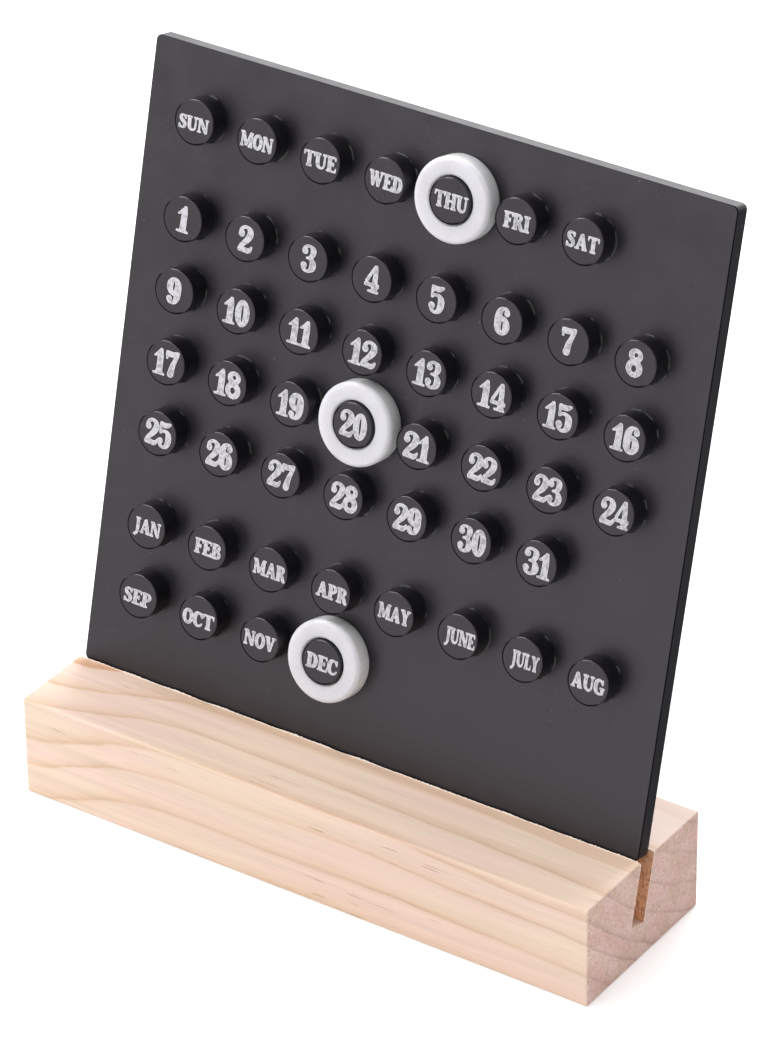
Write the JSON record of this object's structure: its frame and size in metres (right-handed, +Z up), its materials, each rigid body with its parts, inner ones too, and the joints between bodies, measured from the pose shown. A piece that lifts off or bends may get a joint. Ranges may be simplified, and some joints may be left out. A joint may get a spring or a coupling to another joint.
{
  "type": "perpetual desk calendar",
  "caption": "Perpetual desk calendar: a black board of labelled round pegs leans in a slotted pine block, and loose white rings mark the weekday, date and month.",
  "frame": {"origin": "middle of the block's underside, where the calendar rests", "axes": "+X along the block to the reader's right, +Y to the back, +Z up; the board leans back 14 degrees towards +Y"},
  "size_m": [0.15, 0.0612, 0.1673],
  "materials": {
    "pine": "bare sanded pine with visible grain",
    "board_black": "satin black, faintly scuffed",
    "peg_black": "satin black with a printed white label",
    "ring_white": "smooth gloss white",
    "label_white": "printed white ink, mottled and a little worn"
  },
  "bodies": {
    "stand": {"base_block": "pine"},
    "board": {"board": "board_black", "peg_sun": "peg_black", "peg_mon": "peg_black", "peg_tue": "peg_black", "peg_wed": "peg_black", "peg_thu": "peg_black", "peg_fri": "peg_black", "peg_sat": "peg_black", "peg_01": "peg_black", "peg_02": "peg_black", "peg_03": "peg_black", "peg_04": "peg_black", "peg_05": "peg_black", "peg_06": "peg_black", "peg_07": "peg_black", "peg_08": "peg_black", "peg_09": "peg_black", "peg_10": "peg_black", "peg_11": "peg_black", "peg_12": "peg_black", "peg_13": "peg_black", "peg_14": "peg_black", "peg_15": "peg_black", "peg_16": "peg_black", "peg_17": "peg_black", "peg_18": "peg_black", "peg_19": "peg_black", "peg_20": "peg_black", "peg_21": "peg_black", "peg_22": "peg_black", "peg_23": "peg_black", "peg_24": "peg_black", "peg_25": "peg_black", "peg_26": "peg_black", "peg_27": "peg_black", "peg_28": "peg_black", "peg_29": "peg_black", "peg_30": "peg_black", "peg_31": "peg_black", "peg_jan": "peg_black", "peg_feb": "peg_black", "peg_mar": "peg_black", "peg_apr": "peg_black", "peg_may": "peg_black", "peg_jun": "peg_black", "peg_jul": "peg_black", "peg_aug": "peg_black", "peg_sep": "peg_black", "peg_oct": "peg_black", "peg_nov": "peg_black", "peg_dec": "peg_black"},
    "weekday_ring": {"weekday_ring": "ring_white"},
    "date_ring": {"date_ring": "ring_white"},
    "month_ring": {"month_ring": "ring_white"}
  },
  "joints": [
    {"name": "board_lift", "type": "slide", "parent": "stand", "child": "board", "axis": [0, 0.2419, 0.9703], "range_m": [0, 0.018]},
    {"name": "weekday_ring_pull", "type": "slide", "parent": "board", "child": "weekday_ring", "axis": [0, -0.9703, 0.2419], "range_m": [0, 0.009]},
    {"name": "date_ring_pull", "type": "slide", "parent": "board", "child": "date_ring", "axis": [0, -0.9703, 0.2419], "range_m": [0, 0.009]},
    {"name": "month_ring_pull", "type": "slide", "parent": "board", "child": "month_ring", "axis": [0, -0.9703, 0.2419], "range_m": [0, 0.009]}
  ]
}
